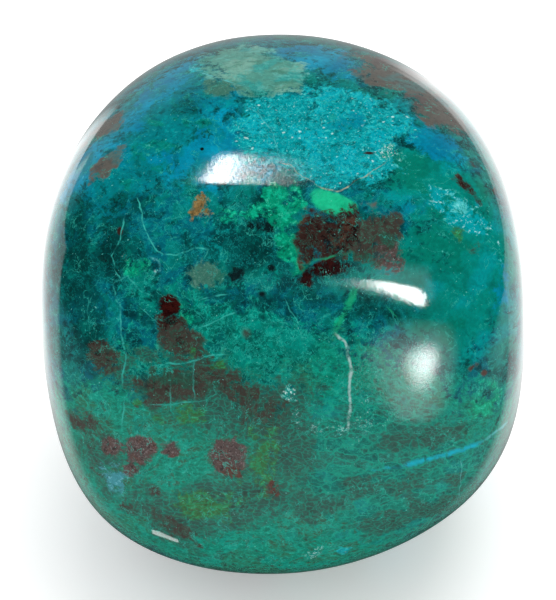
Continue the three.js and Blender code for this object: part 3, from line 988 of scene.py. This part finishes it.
class Kit:
    """The node groups that the stone is worked out with. Their coordinates are in millimetres."""

    def __init__(self) -> None:
        """Makes every group once."""
        self.place = self.make_place()
        self.stir = self.make_stir()
        self.cloud = self.make_cloud()
        self.streak = self.make_streak()
        self.walls = self.make_walls()
        self.cell = self.make_cell()
        self.dots = self.make_dots()

    @staticmethod
    def start(
        name: str, inputs: dict[str, str], output: tuple[str, str]
    ) -> tuple[bpy.types.NodeTree, Bench]:
        """Starts a node group.

        Args:
            name: the group's name.
            inputs: input names and the kinds of their sockets, Float or Vector.
            output: the output's name and kind.

        Returns:
            The group's tree and a bench on it.
        """
        tree = bpy.data.node_groups.new(name, "ShaderNodeTree")
        for label, kind in inputs.items():
            tree.interface.new_socket(label, in_out="INPUT", socket_type="NodeSocket" + kind)
        tree.interface.new_socket(output[0], in_out="OUTPUT", socket_type="NodeSocket" + output[1])
        return tree, Bench(tree)

    @staticmethod
    def end(bench: Bench, result: Socket) -> None:
        """Joins a group's result to its output."""
        bench.put(bench.node("NodeGroupOutput").inputs[0], result)

    def make_place(self) -> bpy.types.NodeTree:
        """Makes the group that gives the place on the stone."""
        tree, bench = self.start("place on the stone", {}, ("Place", "Vector"))
        here = bench.node("TexCoord").outputs["Object"]
        made = bench.node("Mapping", vector_type="POINT")
        bench.put(made.inputs["Vector"], here)
        bench.put(made.inputs["Scale"], (1 / MM, 1 / MM, 1 / MM))
        self.end(bench, made.outputs[0])
        return tree

    def make_stir(self) -> bpy.types.NodeTree:
        """Makes the group that shifts coordinates about, for ragged outlines."""
        inputs = dict.fromkeys(("Vector", "Base"), "Vector")
        inputs |= dict.fromkeys(("Scale", "Detail", "Roughness", "Reach"), "Float")
        tree, bench = self.start("stirred place", inputs, ("Place", "Vector"))
        given = bench.node("NodeGroupInput").outputs
        stir = bench.node("TexNoise")
        for name in ("Vector", "Scale", "Detail", "Roughness"):
            bench.put(stir.inputs[name], given[name])
        parts = bench.node("SeparateColor")
        bench.put(parts.inputs[0], stir.outputs["Color"])
        swing = bench.node("CombineXYZ")
        for name, part in zip("XYZ", parts.outputs):
            bench.put(swing.inputs[name], bench.math("SUBTRACT", part, 0.5))
        wide = bench.vector("SCALE", swing.outputs[0], scale=given["Reach"])
        moved = bench.node("Mapping", vector_type="POINT")
        bench.put(moved.inputs["Vector"], given["Base"])
        bench.put(moved.inputs["Location"], wide)
        self.end(bench, moved.outputs[0])
        return tree

    def make_cloud(self) -> bpy.types.NodeTree:
        """Makes the group for clouds, mottling and grain."""
        inputs = {"Vector": "Vector", "Scale": "Float", "Detail": "Float", "Roughness": "Float"}
        tree, bench = self.start("cloudiness", inputs, ("Cloud", "Float"))
        given = bench.node("NodeGroupInput").outputs
        made = bench.node("TexNoise")
        for name in inputs:
            bench.put(made.inputs[name], given[name])
        self.end(bench, made.outputs[0])
        return tree

    @staticmethod
    def drawn_out(bench: Bench, place: Socket) -> Socket:
        """Draws coordinates out along the stone's grain."""
        made = bench.node("Mapping", vector_type="POINT")
        bench.put(made.inputs["Vector"], place)
        bench.put(made.inputs["Rotation"], (0, math.radians(GRAIN_TILT), 0))
        bench.put(made.inputs["Scale"], (1 / GRAIN_STRETCH, 1, 1))
        return made.outputs[0]

    @staticmethod
    def texture(bench: Bench, kind: str, place: Socket, scale: Socket, **settings: object) -> bpy.types.Node:
        """Adds a texture node.

        Args:
            bench: the group's bench.
            kind: the node's type.
            place: where the texture is read.
            scale: its scale.
            **settings: the node's own properties.

        Returns:
            The node.
        """
        made = bench.node(kind, **settings)
        bench.put(made.inputs["Vector"], place)
        bench.put(made.inputs["Scale"], scale)
        return made

    @staticmethod
    def first_part(bench: Bench, colour: Socket) -> Socket:
        """The first channel of a colour."""
        parts = bench.node("SeparateColor")
        bench.put(parts.inputs[0], colour)
        return parts.outputs[0]

    def make_streak(self) -> bpy.types.NodeTree:
        """Makes the group for cloudiness that runs along the grain."""
        tree, bench = self.start("streaks", SCALED, ("Streak", "Float"))
        given = bench.node("NodeGroupInput").outputs
        drawn = self.drawn_out(bench, given["Vector"])
        made = self.texture(bench, "TexNoise", drawn, given["Scale"])
        bench.put(made.inputs["Detail"], 4)
        bench.put(made.inputs["Roughness"], 0.55)
        self.end(bench, made.outputs[0])
        return tree

    def make_walls(self) -> bpy.types.NodeTree:
        """Makes the group that measures the distance to the nearest wall between cells."""
        tree, bench = self.start("cell walls", SCALED, ("Distance", "Float"))
        given = bench.node("NodeGroupInput").outputs
        drawn = self.drawn_out(bench, given["Vector"])
        made = self.texture(bench, "TexVoronoi", drawn, given["Scale"], feature="DISTANCE_TO_EDGE")
        self.end(bench, made.outputs["Distance"])
        return tree

    def make_cell(self) -> bpy.types.NodeTree:
        """Makes the group that gives each cell a number of its own."""
        tree, bench = self.start("cell number", SCALED, ("Number", "Float"))
        given = bench.node("NodeGroupInput").outputs
        drawn = self.drawn_out(bench, given["Vector"])
        made = self.texture(bench, "TexVoronoi", drawn, given["Scale"], feature="F1")
        self.end(bench, self.first_part(bench, made.outputs["Color"]))
        return tree

    def make_dots(self) -> bpy.types.NodeTree:
        """Makes the group for scattered dots, some of them larger and most of them missing."""
        tree, bench = self.start("scattered dots", SCALED, ("Distance", "Float"))
        given = bench.node("NodeGroupInput").outputs
        made = self.texture(bench, "TexVoronoi", given["Vector"], given["Scale"], feature="F1")
        chance = self.first_part(bench, made.outputs["Color"])
        self.end(bench, bench.math("MULTIPLY_ADD", chance, 0.5, made.outputs["Distance"]))
        return tree


@dataclass(frozen=True)
class Cloudiness:
    """A noise in the stone: how many features it has to the millimetre, its octaves and roughness."""

    scale: float
    detail: float
    roughness: float

    def lay(self, bench: Bench, kit: Kit, label: str, place: Socket) -> Socket:
        """Adds the noise, read at a place.

        Args:
            bench: the tree's bench.
            kit: the node groups.
            label: what the noise is for.
            place: coordinates in millimetres.

        Returns:
            The noise's socket.
        """
        return bench.use(kit.cloud, label, Vector=place, Scale=self.scale, Detail=self.detail,
                         Roughness=self.roughness)

    def shift(self, bench: Bench, kit: Kit, label: str, place: Socket, reach: float) -> Socket:
        """Shifts coordinates about by the noise.

        Args:
            bench: the tree's bench.
            kit: the node groups.
            label: what the shifted coordinates are for.
            place: coordinates in millimetres.
            reach: how wide the shifts are, in millimetres.

        Returns:
            The shifted coordinates.
        """
        return bench.use(kit.stir, label, Vector=place, Base=place, Scale=self.scale, Detail=self.detail,
                         Roughness=self.roughness, Reach=reach)


@dataclass(frozen=True)
class FarPatch:
    """Broad patches of a mineral on the hidden sides, where a noise passes from low to high."""

    rock: Rock
    scale: float
    low: float
    high: float


FAR_PATCHES = (
    FarPatch(Rock.GREEN_FELT, 0.09, 0.50, 0.54),
    FarPatch(Rock.SANDY_TURQUOISE, 0.17, 0.58, 0.60),
    FarPatch(Rock.BROWN, 0.23, 0.40, 0.36),
)


@dataclass(frozen=True)
class StoneFinish:
    """The polished stone: its ground, its markings and its gloss."""

    sight: Sight
    roughness: float = 0.05
    refraction: float = 1.5
    grit: Cloudiness = Cloudiness(5.0, 3, 0.7)
    grit_height: float = 0.002
    outline_seed: int = 7
    hidden: Ramp = Ramp(-6.0, 4.0)
    depth_share: float = 0.45
    depth_dark: tuple[float, ...] = (0.72, 0.72, 0.74, 1)
    depth_light: tuple[float, ...] = (1.18, 1.18, 1.18, 1)
    depth_step: Ramp = Ramp(0.40, 0.60)
    thread_step: Ramp = Ramp(0.009, 0.002)
    thread_patch: Ramp = Ramp(0.46, 0.56, 0.0, 0.6)
    dust_step: Ramp = Ramp(0.19, 0.12, 0.0, 0.7)
    coarse_swing: float = 3.2
    fine_swing: float = 1.4
    least_swing: float = 0.7
    clean_swing: float = 0.3
    mask: Ramp = Ramp(0.36, 0.66)
    marking_depth: float = 0.8
    marking_skin: float = 0.3
    softening: float = 1.4
    least_soft: float = 0.2
    least_edge: float = 0.4
    lobes: float = 1.3
    small_lobes: float = 3.1
    vein_overlap: float = 0.8
    vein_girth: float = 0.7
    vein_depth: float = 3.0
    vein_low: float = 0.1
    vein_high: float = 0.9
    vein_patch: Ramp = Ramp(0.40, 0.56, 0.15, 1.0)

    def build(self) -> bpy.types.Material:
        """Makes the material.

        Returns:
            The polished chrysocolla material.
        """
        material, bench = Bench.for_material("polished chrysocolla")
        kit = Kit()
        place = bench.use(kit.place, "place")
        ragged = Cloudiness(0.8, 5, 0.6).shift(bench, kit, "ragged", place, 1.0)
        wavering = Cloudiness(1.1, 3, 0.6).shift(bench, kit, "wavering", place, 0.45)
        places = {Edge.CLEAN: place, Edge.RAGGED: wavering, Edge.FRAYED: ragged}
        flowing = Cloudiness(0.16, 3, 0.5).shift(bench, kit, "flowing", place, 4.0)
        fields = self.fields(bench, kit, ragged, flowing)
        colour = self.colour_of(bench, Rock.DARK_LACE, fields)
        colour = self.far_side(bench, kit, colour, flowing, fields)
        colour = self.patches(bench, colour, fields)
        colour = self.overgrown(bench, colour, fields)
        colour = self.dots(bench, colour, place)
        colour = self.veins(bench, colour, places, fields)
        shader = bench.node("BsdfPrincipled")
        bench.put(shader.inputs["Base Color"], colour)
        bench.put(shader.inputs["Roughness"], self.roughness)
        bench.put(shader.inputs["IOR"], self.refraction)
        grit = self.grit.lay(bench, kit, "polishing grit", place)
        worn = bench.node("Bump")
        bench.put(worn.inputs["Strength"], 1.0)
        bench.put(worn.inputs["Distance"], self.grit_height * MM)
        bench.put(worn.inputs["Height"], grit)
        bench.put(shader.inputs["Normal"], worn.outputs[0])
        bench.finish("OutputMaterial", shader.outputs[0])
        return material

    def far_side(
        self, bench: Bench, kit: Kit, colour: object, flowing: Socket, fields: dict[Field, Socket]
    ) -> object:
        """Lays broad patches of the other minerals over the sides that the photograph doesn't show.

        Args:
            bench: the tree's bench.
            kit: the node groups.
            colour: the ground's colour.
            flowing: broadly stirred coordinates in millimetres.
            fields: the shared fields.

        Returns:
            The colour with its hidden sides.
        """
        camera = self.sight.camera
        from_middle = bench.vector("SUBTRACT", flowing, camera.middle)
        facing = bench.vector("DOT_PRODUCT", from_middle, camera.ahead)
        away = self.hidden.of(bench, facing)
        for patch in FAR_PATCHES:
            broad = Cloudiness(patch.scale, 6, 0.6).lay(bench, kit, "far side", flowing)
            share = bench.math("MULTIPLY", bench.remap(broad, patch.low, patch.high), away)
            colour = bench.mix(share, colour, self.colour_of(bench, patch.rock, fields))
        return colour

    def overgrown(self, bench: Bench, colour: object, fields: dict[Field, Socket]) -> object:
        """Lays what runs through every mineral over them: pale threads, dust and uneven depth.

        Args:
            bench: the tree's bench.
            colour: the colour so far.
            fields: the shared fields.

        Returns:
            The overgrown colour.
        """
        share = self.depth_step.of(bench, fields[Field.FINE])
        depth = bench.mix(share, self.depth_dark, self.depth_light)
        colour = bench.mix(self.depth_share, colour, depth, "MULTIPLY")
        share = bench.math("MULTIPLY", self.thread_step.of(bench, fields[Field.THREAD]),
                           self.thread_patch.of(bench, fields[Field.PATCH]))
        colour = bench.mix(share, colour, paint(PALE_THREAD))
        share = self.dust_step.of(bench, fields[Field.DUST])
        return bench.mix(share, colour, paint(PALE_DUST))

    def fields(self, bench: Bench, kit: Kit, ragged: Socket, flowing: Socket) -> dict[Field, Socket]:
        """Works out the shared fields.

        Args:
            bench: the tree's bench.
            kit: the node groups.
            ragged: coordinates in millimetres, slightly stirred.
            flowing: the same, broadly stirred.

        Returns:
            One socket for each field.
        """
        winding = Cloudiness(1.7, 4, 0.65).lay(bench, kit, "winding", ragged)
        thready = Cloudiness(0.55, 5, 0.6).lay(bench, kit, "thready", flowing)
        made = {
            Field.CLOUD: Cloudiness(0.35, 4, 0.5).lay(bench, kit, "cloud", flowing),
            Field.PATCH: Cloudiness(0.62, 3, 0.55).lay(bench, kit, "patch", ragged),
            Field.MOTTLE: Cloudiness(1.3, 7, 0.7).lay(bench, kit, "mottle", flowing),
            Field.FINE: Cloudiness(3.4, 5, 0.72).lay(bench, kit, "fine", ragged),
            Field.GRAIN: Cloudiness(8.0, 2, 0.6).lay(bench, kit, "grain", ragged),
            Field.LACE: bench.math("ABSOLUTE", bench.math("SUBTRACT", winding, 0.5)),
            Field.THREAD: bench.math("ABSOLUTE", bench.math("SUBTRACT", thready, 0.52)),
        }
        for field, group, scale in (
            (Field.NET, kit.walls, 1.5), (Field.FINE_NET, kit.walls, 3.2), (Field.CELL, kit.cell, 1.5),
            (Field.FLECK, kit.dots, 2.0), (Field.DUST, kit.dots, 4.6), (Field.STREAK, kit.streak, 1.1),
        ):
            made[field] = bench.use(group, field.value, Vector=ragged, Scale=scale)
        return made

    def colour_of(self, bench: Bench, rock: Rock, fields: dict[Field, Socket]) -> object:
        """Works out one mineral's colour.

        Args:
            bench: the tree's bench.
            rock: the mineral.
            fields: the shared fields.

        Returns:
            The colour's socket, or a plain colour.
        """
        mineral: Mineral = rock.value
        colour: object = paint(mineral.ground)
        for layer in mineral.layers:
            strength = layer.strength - 1e-5 * len(bench.tree.nodes)
            share = bench.remap(fields[layer.field], layer.low, layer.high, 0.0, strength)
            colour = bench.mix(share, colour, paint(layer.tone))
        return colour

    def patches(self, bench: Bench, colour: object, fields: dict[Field, Socket]) -> object:
        """Lays every zone over the ground, and then all markings of each mineral in turn.

        Args:
            bench: the tree's bench.
            colour: the ground's colour.
            fields: the shared fields.

        Returns:
            The colour with its markings.
        """
        coarse = bench.math("MULTIPLY_ADD", fields[Field.MOTTLE], self.coarse_swing, -self.coarse_swing / 2)
        lowered = bench.math("SUBTRACT", coarse, self.fine_swing / 2)
        swing = bench.math("MULTIPLY_ADD", fields[Field.FINE], self.fine_swing, lowered)
        ragged = bench.math("MAXIMUM", bench.math("ADD", swing, 1.0), self.least_swing)
        clean = bench.math("MULTIPLY_ADD", swing, self.clean_swing, 1.0)
        for group in (ZONES, MARKINGS):
            for rock in Rock:
                if any(marking.rock is rock for marking in group):
                    stamped = bench.node("Attribute", attribute_name=stamp_name(group, rock)).outputs["Fac"]
                    uneven = bench.math("MULTIPLY", stamped, clean if rock in CLEAN_EDGED else ragged)
                    mask = self.mask.of(bench, uneven)
                    colour = bench.mix(mask, colour, self.colour_of(bench, rock, fields))
        return colour

    def dots(self, bench: Bench, colour: object, place: Socket) -> object:
        """Lays the smallest markings, each with one tone.

        Args:
            bench: the tree's bench.
            colour: the colour so far.
            place: coordinates in millimetres.

        Returns:
            The colour with its dots.
        """
        for dot in DOTS:
            centre, frame, size = self.seat(dot)
            depth = bench.inside(place, centre, frame, size * (1 + dot.soft))
            mask = bench.remap(depth, 0.0, dot.soft * 1.5, 0.0, dot.strength)
            colour = bench.mix(mask, colour, paint(dot.rock.value.ground))
        return colour

    def seat(self, marking: Marking) -> tuple[Vector, Matrix, Vector]:
        """Works out how a marking lies on the stone.

        Args:
            marking: the marking.

        Returns:
            Its middle, its axes as columns and its half sizes, in millimetres.
        """
        turn = math.radians(marking.turn)
        across = Vector((math.cos(turn), math.sin(turn))) * marking.half[0]
        along = Vector((-math.sin(turn), math.cos(turn))) * marking.half[1]
        first = self.sight.stride(marking.centre, across.x, across.y)
        second = self.sight.stride(marking.centre, along.x, along.y)
        centre = self.sight.need(marking.centre)
        outward = first.cross(second).normalized()
        axis = first.normalized()
        other = outward.cross(axis)
        frame = Matrix((axis, other, outward)).transposed()
        depth = max(first.length, second.length) * self.marking_depth + self.marking_skin
        return centre, frame, Vector((first.length, abs(second.dot(other)), depth))

    def stamp(self, data: bpy.types.Mesh) -> None:
        """Writes the share of every mineral's markings into the pebble's points.

        Args:
            data: the pebble's mesh.
        """
        noise.seed_set(self.outline_seed)  # without it noise_vector differs at each start
        count = len(data.vertices)
        points = kdtree.KDTree(count)
        for vertex in data.vertices:
            points.insert(vertex.co / MM, vertex.index)
        points.balance()
        for group in (ZONES, MARKINGS):
            for rock in Rock:
                own = [marking for marking in group if marking.rock is rock]
                if own:
                    shares = [0.0] * count
                    for marking in own:
                        self.press(marking, points, shares)
                    layer = data.attributes.new(stamp_name(group, rock), "FLOAT", "POINT")
                    layer.data.foreach_set("value", shares)

    def press(self, marking: Marking, points: kdtree.KDTree, shares: list[float]) -> None:
        """Raises the shares of the points inside one marking.

        Args:
            marking: the marking.
            points: the pebble's points.
            shares: one share for each point.
        """
        centre, frame, size = self.seat(marking)
        wanted = marking.soft * self.softening + self.least_soft
        soft = min(1.0, max(wanted, self.least_edge / min(size.x, size.y)))
        to_own = frame.transposed()
        give = LOBES[marking.edge]
        for point, index, _ in points.find_range(centre, max(size) * (1 + soft + give)):
            local = to_own @ (point - centre)
            own = Vector((local.x / size.x, local.y / size.y, local.z / size.z))
            lobed = noise.noise_vector(own * self.lobes + centre)
            lobed += 0.5 * noise.noise_vector(own * self.small_lobes + centre)
            distance = (own + lobed * give).length
            share = min(1.0, max(0.0, (1 + soft - distance) / (2 * soft))) * marking.strength
            shares[index] = max(shares[index], share)

    def veins(
        self, bench: Bench, colour: object, places: dict[Edge, Socket], fields: dict[Field, Socket]
    ) -> object:
        """Draws the veins over the markings.

        Args:
            bench: the tree's bench.
            colour: the colour so far.
            places: coordinates for each kind of outline.
            fields: the shared fields.

        Returns:
            The colour with its veins.
        """
        patchy = self.vein_patch.of(bench, fields[Field.MOTTLE])
        for tone in (GREEN_VEIN, BLUE_VEIN, THREAD, PALE_BLUE_VEIN, CREAM_VEIN, WHITE_VEIN):
            joined: object = 0.0
            for vein in VEINS:
                if vein.tone == tone:
                    joined = bench.math("MAXIMUM", self.line(bench, vein, places[vein.edge]), joined)
            if joined != 0.0:
                colour = bench.mix(bench.math("MULTIPLY", joined, patchy), colour, paint(tone))
        return colour

    def line(self, bench: Bench, vein: Vein, place: Socket) -> Socket:
        """Masks one vein, as a row of long ellipsoids that run into each other.

        Args:
            bench: the tree's bench.
            vein: the vein.
            place: coordinates for its outline.

        Returns:
            The mask.
        """
        depth: object = 0.0
        run = [self.sight.need(pixel) for pixel in vein.run]
        for start, end in zip(run, run[1:]):
            axis = (end - start).normalized()
            outward = self.sight.form.normal(start - self.sight.camera.middle)
            other = outward.cross(axis).normalized()
            frame = Matrix((axis, other, axis.cross(other))).transposed()
            size = Vector((
                (end - start).length * self.vein_overlap, vein.width * self.vein_girth,
                vein.width * self.vein_depth,
            ))
            depth = bench.math("ADD", bench.inside(place, (start + end) / 2, frame, size), depth)
        return bench.remap(depth, self.vein_low, self.vein_high, 0.0, vein.strength)


@dataclass
class Pebble:
    """The tumbled pebble. Sizes are in millimetres."""

    form: WornForm
    middle: Vector
    rings: int = 7

    def build(self) -> bpy.types.Object:
        """Models the pebble: a sphere worn to its flats, gently rippled, with its resting flat.

        Returns:
            The pebble, at the origin, with its place in its mesh.
        """
        mesh = bmesh.new()
        bmesh.ops.create_icosphere(mesh, subdivisions=self.rings, radius=1.0)
        for vertex in mesh.verts:
            direction = vertex.co.normalized()
            vertex.co = (self.middle + direction * self.form.reach(direction)) * MM
        cut = bmesh.ops.bisect_plane(mesh, geom=mesh.verts[:] + mesh.edges[:] + mesh.faces[:], dist=1e-7,
                                     plane_co=(0, 0, 0), plane_no=(0, 0, -1), clear_outer=True)
        rim = [part for part in cut["geom_cut"] if isinstance(part, bmesh.types.BMEdge)]
        filled = bmesh.ops.holes_fill(mesh, edges=rim, sides=0)
        bmesh.ops.triangulate(mesh, faces=filled["faces"])
        bmesh.ops.recalc_face_normals(mesh, faces=mesh.faces[:])
        for face in mesh.faces:
            face.smooth = True
        return new_object(mesh, "chrysocolla_pebble", "chrysocolla pebble")

    def dress(self, pebble: bpy.types.Object, finish: StoneFinish) -> None:
        """Gives the pebble its finish and puts it in the place of the plain solid."""
        finish.stamp(pebble.data)
        pebble.data.materials.append(finish.build())
        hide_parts(NODE)
        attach(pebble, BODY)


@dataclass
class Panel:
    """A lit panel that only the polish mirrors, traced by where the photograph shows its glint."""

    name: str
    outline: tuple[Pixel, ...]
    glow: float
    distance: float = 400.0
    fading: bool = False
    rim: float = 0.9
    core: float = 0.05

    def build(self, sight: Sight) -> bpy.types.Object:
        """Makes the panel square to the mirrored sight line through its middle.

        Args:
            sight: what carries pixels onto the pebble.

        Returns:
            The panel, which is stage.
        """
        count = len(self.outline)
        centre_px = (sum(p[0] for p in self.outline) / count, sum(p[1] for p in self.outline) / count)
        facing = sight.mirrored(centre_px)
        hub = sight.need(centre_px) + facing * self.distance
        mesh = bmesh.new()
        corners = []
        size = 0.0
        for pixel in self.outline:
            start = sight.need(pixel)
            heading = sight.mirrored(pixel)
            reach = (hub - start).dot(facing) / heading.dot(facing)
            corner = (start + heading * reach - hub) * MM
            size += corner.length / count
            corners.append(mesh.verts.new(corner))
        bmesh.ops.contextual_create(mesh, geom=corners)
        panel = new_object(mesh, self.name)
        panel.data.materials.append(self.lit(size))
        panel.location = hub * MM
        panel.visible_camera = False
        panel.visible_diffuse = False
        panel.visible_shadow = False
        return panel

    def lit(self, size: float) -> bpy.types.Material:
        """Makes the panel's light.

        Args:
            size: the panel's middle radius in metres.

        Returns:
            The material. A fading panel is clear where it doesn't glow.
        """
        material, bench = Bench.for_material(self.name)
        glow = bench.node("Emission")
        bench.put(glow.inputs["Strength"], self.glow)
        surface = glow.outputs[0]
        if self.fading:
            here = bench.node("TexCoord").outputs["Object"]
            share = bench.remap(bench.vector("LENGTH", here), size * self.rim, size * self.core)
            surface = bench.blend(share, bench.node("BsdfTransparent").outputs[0], surface)
        bench.finish("OutputMaterial", surface)
        return material


GLINTS = (
    Panel("upper glint",
          ((206, 182), (219, 185), (228, 182), (233, 170), (235, 160), (229, 153), (219, 164)), 45),
    Panel("upper glint, dim end", ((232, 182), (258, 183), (268, 176), (264, 162), (238, 160)), 0.14, 390),
    Panel("upper glint, haze",
          ((188, 194), (206, 196), (224, 190), (232, 160), (222, 150), (204, 168)), 1.2, 410, True),
    Panel("middle glint", ((376, 278), (390, 282), (404, 284), (419, 288), (425, 295), (422, 305), (409, 299),
                           (394, 292), (380, 286)), 45),
    Panel("middle glint, haze",
          ((356, 252), (400, 246), (428, 264), (434, 298), (414, 310), (370, 292)), 1.2, 410, True),
    Panel("lower glint", ((402, 350), (415, 338), (434, 338), (448, 350), (450, 370), (438, 386), (414, 388),
                          (402, 372)), 22, 60, True),
    Panel("lower glint, haze", ((372, 350), (398, 318), (450, 318), (480, 350), (476, 390), (448, 420),
                                (400, 418), (374, 384)), 3.4, 62, True),
    Panel("streak at the foot",
          ((152, 529), (160, 531), (178, 539), (179, 542), (164, 537), (153, 533)), 5, 8),
)


@dataclass
class Studio:
    """The white table, the light round it and the glints.

    The steps on the table are in millimetres from the pebble's middle, but the wings' are across over
    away. Those of the room are parts of a unit direction.
    """

    sight: Sight
    table_radius: float = 300.0
    table_tone: float = 0.9
    table_glow: float = 0.27
    mirrored_table: float = 1.8
    mirrored_table_least: float = 0.04
    behind: Ramp = Ramp(-18, -4)
    # painted shadow: in the polish the table stays dark close to the pebble, where the pebble shades it
    clear: Ramp = Ramp(12, 36)
    right_wing: Ramp = Ramp(0.15, 0.3, 0.2, 1.0)
    left_wing: Ramp = Ramp(-0.3, -0.5)
    beside: Ramp = Ramp(26, 80)
    beside_ahead: Ramp = Ramp(-120, -24, 0.0, 0.6)
    near: Ramp = Ramp(130, 60, 0.0, 0.19)
    in_front: Ramp = Ramp(-4, -18)
    sky: float = 1.0
    room_least: float = 0.03
    haze_away: Ramp = Ramp(0.2, 0.9)
    haze_above: Ramp = Ramp(0.75, 0.2, 0.0, 0.35)
    right_wall: Ramp = Ramp(0.15, 0.25)
    right_top: Ramp = Ramp(0.03, 0.0, 0.0, 1.3)
    left_wall: Ramp = Ramp(-0.46, -0.54)
    left_top: Ramp = Ramp(0.12, 0.09, 0.0, 1.5)
    walls_behind: Ramp = Ramp(-0.05, 0.05)
    lamp_power: float = 1.1
    lamp_width: float = 0.4
    lamp_distance: float = 0.5
    lamp_heading: tuple[float, float, float] = (0.15, 0.1, 0.98)

    def build(self) -> None:
        """Sets the table, the lamp, the room and the mirrored panels up."""
        self.table()
        self.lamp()
        self.room()
        for panel in GLINTS:
            panel.build(self.sight)

    def table(self) -> bpy.types.Object:
        """Makes the round white table top.

        Returns:
            The table, which is stage.
        """
        mesh = bmesh.new()
        bmesh.ops.create_circle(mesh, cap_ends=True, segments=96, radius=self.table_radius * MM)
        table = new_object(mesh, "white table")
        table.data.materials.append(self.table_top())
        return table

    def table_top(self) -> bpy.types.Material:
        """Makes the table's finish: white, and in the polish bright only behind and beside the pebble.

        Returns:
            The material.
        """
        material, bench = Bench.for_material("white table")
        here = bench.node("TexCoord").outputs["Object"]
        parts = bench.node("SeparateXYZ")
        bench.put(parts.inputs[0], bench.vector("SCALE", here, scale=1 / MM))
        across, away, _ = parts.outputs
        far = bench.vector("LENGTH", bench.vector("SCALE", here, scale=1 / MM))
        behind = self.behind.of(bench, away)
        # painted shadow: the mirrored table darkens close to the pebble
        clear = self.clear.of(bench, far)
        aside = bench.math("DIVIDE", across, bench.math("MAXIMUM", away, 1.0))
        wings = bench.math("MAXIMUM", self.right_wing.of(bench, aside), self.left_wing.of(bench, aside))
        beside = bench.math("MULTIPLY", self.beside.of(bench, across), self.beside_ahead.of(bench, away))
        bright = bench.math("MAXIMUM", bench.math("MULTIPLY", behind, wings), beside)
        near = bench.math("MULTIPLY", self.near.of(bench, far), self.in_front.of(bench, away))
        bright = bench.math("MULTIPLY", bench.math("MAXIMUM", bright, near), clear)
        strength = bench.math("MULTIPLY_ADD", bright, self.mirrored_table, self.mirrored_table_least)
        mirrored = bench.node("Emission")
        bench.put(mirrored.inputs["Strength"], strength)
        matt = bench.node("BsdfDiffuse")
        bench.put(matt.inputs["Color"], (self.table_tone, self.table_tone, self.table_tone, 1))
        glow = bench.node("Emission")
        bench.put(glow.inputs["Strength"], self.table_glow)
        shader = bench.node("AddShader")
        bench.put(shader.inputs[0], matt.outputs[0])
        bench.put(shader.inputs[1], glow.outputs[0])
        glossy = bench.node("LightPath").outputs["Is Glossy Ray"]
        bench.finish("OutputMaterial", bench.blend(glossy, shader.outputs[0], mirrored.outputs[0]))
        return material

    def lamp(self) -> bpy.types.Object:
        """Hangs one large soft lamp above, slightly behind and to the right.

        Returns:
            The lamp.
        """
        light = bpy.data.lights.new("soft lamp", "AREA")
        light.shape = "DISK"
        light.size = self.lamp_width
        light.energy = self.lamp_power
        lamp = bpy.data.objects.new("soft lamp", light)
        heading = Vector(self.lamp_heading).normalized()
        lamp.location = heading * self.lamp_distance
        lamp.rotation_euler = heading.to_track_quat("Z", "Y").to_euler()
        lamp.visible_glossy = False
        bpy.context.scene.collection.objects.link(lamp)
        return lamp

    def room(self) -> bpy.types.World:
        """Makes the room: white behind the table, soft light all round, and dim in the polish.

        Returns:
            The scene's world.
        """
        world = bpy.data.worlds.new("pale room")
        world.use_nodes = True
        bench = Bench(world.node_tree)
        rays = bench.node("LightPath").outputs
        parts = bench.node("SeparateXYZ")
        bench.put(parts.inputs[0], bench.node("TexCoord").outputs["Generated"])
        across, away, above = parts.outputs
        hazy = bench.math("MULTIPLY", self.haze_away.of(bench, away), self.haze_above.of(bench, above))
        right = bench.math("MULTIPLY", self.right_wall.of(bench, across), self.right_top.of(bench, above))
        left = bench.math("MULTIPLY", self.left_wall.of(bench, across), self.left_top.of(bench, above))
        wings = bench.math("MULTIPLY", bench.math("MAXIMUM", left, right), self.walls_behind.of(bench, away))
        soft = bench.node("Background")
        bench.put(soft.inputs["Strength"], self.sky)
        mirrored = bench.node("Background")
        strength = bench.math("ADD", bench.math("MAXIMUM", hazy, wings), self.room_least)
        bench.put(mirrored.inputs["Strength"], strength)
        seen = bench.node("Background")
        for lit in (soft, mirrored, seen):
            bench.put(lit.inputs["Color"], (1, 1, 1, 1))
        first = bench.blend(rays["Is Glossy Ray"], soft.outputs[0], mirrored.outputs[0])
        second = bench.blend(rays["Is Camera Ray"], first, seen.outputs[0])
        bench.finish("OutputWorld", second)
        bpy.context.scene.world = world
        return world


def main() -> None:
    """Builds the pebble and its studio."""
    logging.basicConfig(level=logging.INFO, format="%(message)s")
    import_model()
    form = WornForm()
    middle = Vector((0.035, 0.275, form.rest_height))
    camera = PhotoCamera(middle)
    sight = Sight(form, camera)
    camera.build()
    log.info("camera built")
    Studio(sight).build()
    log.info("studio built")
    pebble = Pebble(form, middle)
    piece = pebble.build()
    pebble.dress(piece, StoneFinish(sight))
    log.info("pebble built: %d faces", len(piece.data.polygons))
    view = bpy.context.scene.view_settings
    view.view_transform = "Standard"


if __name__ == "__main__":
    main()
